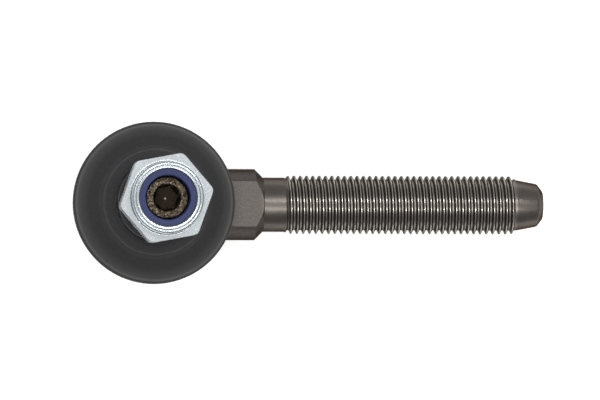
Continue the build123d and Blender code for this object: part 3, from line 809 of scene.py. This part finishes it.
# ---------------------------------------------------------------- lock nut and nylon ring
def make_nut():
    """Hexagon with turned corners, chamfered at its foot, with a collar crimped over the nylon."""
    mesh = bmesh.new()
    sharp = hexagon(NUT_FLATS)

    def side(angle):
        return min(sharp(angle), NUT_CORNER_R)

    def foot(angle):
        return NUT_LOW.z + max(0.0, side(angle) - NUT_BEARING_R) * NUT_CHAMFER

    outside = [
        (NUT_BORE_R + NUT_LEAD, NUT_LOW.z),
        (NUT_BEARING_R, NUT_LOW.z),
        (side, foot),
        (side, NUT_HEX_TOP),
    ]
    collar = rounded(
        [
            (NUT_COLLAR_R + NUT_COLLAR_FOOT, NUT_HEX_TOP),
            (NUT_COLLAR_R, NUT_HEX_TOP, 0.35),
            (NUT_COLLAR_R, NUT_HIGH.z - 0.35, 0.7),
            (7.75, NUT_HIGH.z - 0.12, 0.3),
            (7.45, NUT_HIGH.z - 0.22, 0.2),
            (7.2, NUT_HIGH.z, 0.25),
            (CRIMP_R, NUT_HIGH.z - 0.08, 0.25),
            (CRIMP_R, NYLON_HIGH.z + CRIMP_GAP),
            (NYLON_R, NYLON_HIGH.z + CRIMP_GAP),
            (NYLON_R, NYLON_LOW.z),
            (NUT_BORE_R, NYLON_LOW.z),
        ]
    )
    add_rings(mesh, outside + collar, turned=NUT_TURNED)
    thread_top = NYLON_LOW.z - NUT_RUNOUT
    thread_bottom = thread_top - NUT_TURNS * STUD_PITCH
    mesh.from_mesh(
        grown(
            THREAD,
            Start=thread_bottom,
            Pitch=STUD_PITCH,
            Turns=NUT_TURNS,
            Crest_Radius=NUT_BORE_R,
            Depth=-NUT_GROOVE,
            Flank=NUT_GROOVE / STUD_PITCH * THREAD_FLANK,
            Entry_Radius=NUT_BORE_R,
            Exit_Radius=NUT_BORE_R,
            Turned=NUT_TURNED,
            Sides=SIDES,
            Steps=THREAD_STEPS,
            Material=ZINC,
        )
    )
    add_rings(mesh, [(NUT_BORE_R, NYLON_LOW.z), (NUT_BORE_R, thread_top)], turned=NUT_TURNED)
    lead = [
        (NUT_BORE_R, thread_bottom),
        (NUT_BORE_R, NUT_LOW.z + NUT_LEAD),
        (NUT_BORE_R + NUT_LEAD, NUT_LOW.z),
    ]
    add_rings(mesh, lead, turned=NUT_TURNED)
    piece = finished("lock_nut_plated", mesh, ZINC)
    soften = piece.modifiers.new("soft_edges", "BEVEL")
    soften.width = 0.12 * MM
    soften.segments = 3
    soften.limit_method = "ANGLE"
    soften.angle_limit = math.radians(40)
    return stands_for(piece, "nut_body", "zinc_plate", "lock_nut")


def make_nylon():
    """Locking ring, with a bore smaller than the stud's thread."""
    mesh = bmesh.new()
    outline = rounded(
        [
            (NYLON_BORE_R, NYLON_LOW.z, 0.5),
            (NYLON_R - NYLON_GAP, NYLON_LOW.z, 0.15),
            (NYLON_R - NYLON_GAP, NYLON_HIGH.z, 0.15),
            (NYLON_BORE_R, NYLON_HIGH.z, 0.3),
        ],
        steps=6,
        closed=True,
    )
    add_rings(mesh, outline, closed=True)
    piece = finished("nylon_insert", mesh, NYLON)
    return stands_for(piece, "nylon_body", "nylon", "nylon_ring")


# ---------------------------------------------------------------- rubber boot
def make_boot():
    """Two halves that meet on the fold at the waist. Each corner is (radius, height, rounding)."""
    side = BOOT_HIGH.x
    outer = [
        (BOOT_FOOT_R, BOOT_LOW.z, 0.15),
        (BOOT_FOOT_R, CLAMP_GROOVE_LOW, 0.1),
        (CLAMP_GROOVE_R, CLAMP_GROOVE_LOW, 0.1),
        (CLAMP_GROOVE_R, CLAMP_GROOVE_HIGH, 0.1),
        (17.6, CLAMP_GROOVE_HIGH, 0.3),
        (side, 8.75, 0.8),
        (side, 10.5, 1.3),
        (17.3, 12.25, 2.4),
        (13.3, 15.2, 1.2),
    ]
    inner = [
        (11.8, 15.0, 1.0),
        (15.7, 10.9, 1.0),
        (17.4, 9.7, 0.4),
        (BOOT_RIM_R, 8.5, 0.2),
        (BOOT_RIM_R, BOOT_SEAT_TOP, 0.1),
        (BOOT_SEAT_R, BOOT_SEAT_TOP, 0.1),
        (BOOT_SEAT_R, BOOT_LOW.z, 0.1),
    ]
    seam_outside = (BOOT_WAIST_R, BOOT_SEAM)
    seam_inside = (BOOT_WAIST_R - BOOT_WAIST_WALL, BOOT_SEAM)
    lower = [*outer, seam_outside, seam_inside, *inner]
    upper = [
        seam_outside,
        (BELLOWS_R, 16.5, 0.5),
        (BELLOWS_R, 18.4, 1.7),
        (10.4, 20.15, 0.7),
        (TOP_GROOVE_R, TOP_GROOVE_LOW, 0.1),
        (TOP_GROOVE_R, TOP_GROOVE_HIGH, 0.1),
        (BOOT_LIP_R, TOP_GROOVE_HIGH, 0.15),
        (BOOT_LIP_R, BOOT_HIGH.z, 0.5),
        (BOOT_BORE_R, BOOT_HIGH.z, 0.3),
        (BOOT_BORE_R, 20.2, 0.2),
        (9.6, 18.9, 0.8),
        (11.3, 16.9, 0.6),
        seam_inside,
    ]
    halves = []
    for name, corners in (("dust_boot_lower", lower), ("dust_boot_upper", upper)):
        mesh = bmesh.new()
        add_rings(mesh, rounded(corners, steps=6, closed=True), closed=True)
        halves.append(finished(name, mesh, RUBBER))
    low, high = halves
    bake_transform(low)
    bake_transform(high)
    for half in halves:
        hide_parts("dust_boot")
    return halves


# ---------------------------------------------------------------- the two wound rings that hold the boot
def make_ring(name, low, high, wire_width, body, node):
    """A wound ring that fills the CAD ring's height."""
    data = grown(
        WOUND_RING,
        Bottom=low.z,
        Radius=high.y - wire_width / 2,
        Turns=float(WIRE_TURNS),
        Wire_Width=wire_width,
        Wire_Height=(high.z - low.z) / (WIRE_TURNS + 1),
        Sides=SIDES,
        Material=SPRING,
    )
    mesh = bmesh.new()
    mesh.from_mesh(data)
    piece = finished(name, mesh, SPRING)
    return stands_for(piece, body, "spring_steel", node)


# ---------------------------------------------------------------- floor, lights and camera
def lamp(name, placed, spot, size, power):
    """A rectangular light at a spot over the leaning part, aimed at the middle of the view."""
    light = bpy.data.lights.new(name, "AREA")
    light.shape = "RECTANGLE"
    light.size = size[0]
    light.size_y = size[1]
    light.energy = power
    held = bpy.data.objects.new(name, light)
    held.location = placed @ Vector(spot)
    held.rotation_euler = (placed @ Vector((0, 0, 0)) - held.location).to_track_quat("-Z", "Y").to_euler()
    bpy.context.scene.collection.objects.link(held)


def make_studio():
    """A glowing paper floor in a softly lit room, under a wide light and two long strip lights. The part
    stays upright in its frame, and the lights and the camera lean round it instead."""
    scene = bpy.context.scene
    scene.view_settings.view_transform = "Standard"
    floor_mesh = bpy.data.meshes.new("floor")
    height = cad_box[0].z - FLOOR_GAP
    around = ((-1, -1), (1, -1), (1, 1), (-1, 1))
    corners = [(FLOOR_REACH * x, FLOOR_REACH * y, height) for x, y in around]
    floor_mesh.from_pydata(corners, [], [(0, 1, 2, 3)])
    floor = bpy.data.objects.new("floor", floor_mesh)
    scene.collection.objects.link(floor)
    paper, tree, shader, place = surface("paper_sweep", Roughness=0.9)
    tone = blended(tree, patches(tree, place, 40.0, 0.3, 0.7), "f4f4f3", "f9f9f9")
    tree.links.new(tone, shader.inputs["Base Color"])
    shader.inputs["Emission Color"].default_value = (1, 1, 1, 1)
    shader.inputs["Emission Strength"].default_value = FLOOR_GLOW
    floor_mesh.materials.append(paper)

    world = bpy.data.worlds.new("soft_room")
    world.use_nodes = True
    sky = world.node_tree
    direction = add_node(sky, "ShaderNodeTexCoord").outputs["Generated"]
    toward = add_node(sky, "ShaderNodeSeparateXYZ", {0: direction})
    glow = ranged(sky, toward.outputs["Y"], -1, 1, ROOM_DIM, ROOM_BRIGHT)
    sky.links.new(glow, sky.nodes["Background"].inputs["Strength"])
    sky.nodes["Background"].inputs["Color"].default_value = (1, 1, 1, 1)
    scene.world = world

    offset = Matrix.Translation((VIEW_X, VIEW_Y, 0))
    table = offset @ Matrix.Rotation(TIP, 4, "X") @ Matrix.Rotation(LEAN, 4, "Y")
    to_part = table.inverted()
    lamp("overhead_light", to_part, (0.1, 0, 1.3), (1.5, 1.5), OVERHEAD_POWER)
    lamp("upper_light", to_part, (0.1, 0.4, 1.25), STRIP_SIZE, STRIP_POWER)
    lamp("lower_light", to_part, (0.1, -0.4, 1.25), STRIP_SIZE, STRIP_POWER)

    camera = bpy.data.objects.new("camera", bpy.data.cameras.new("camera"))
    camera.data.lens = CAMERA_LENS
    camera.data.sensor_width = CAMERA_SENSOR
    camera.data.clip_start = 0.1
    camera.data.clip_end = 20
    camera.matrix_world = to_part @ Matrix.Translation((0, 0, CAMERA_HEIGHT))
    scene.collection.objects.link(camera)
    scene.camera = camera


make_studio()
make_housing()
make_stud()
make_nut()
make_nylon()
make_boot()
make_ring("boot_clamp_wire", CLAMP_LOW, CLAMP_HIGH, CLAMP_WIRE, "housing_body", "boot_clamp_ring")
make_ring("boot_top_wire", TOP_RING_LOW, TOP_RING_HIGH, TOP_WIRE, "top_ring_body", "boot_top_ring")
for node, material in (
    ("upper_seat", ACETAL),
    ("lower_seat", ACETAL),
    ("preload_spring", SPRING),
    ("closing_plate", PLATE),
):
    nodes[node].data.materials.clear()
    nodes[node].data.materials.append(material)
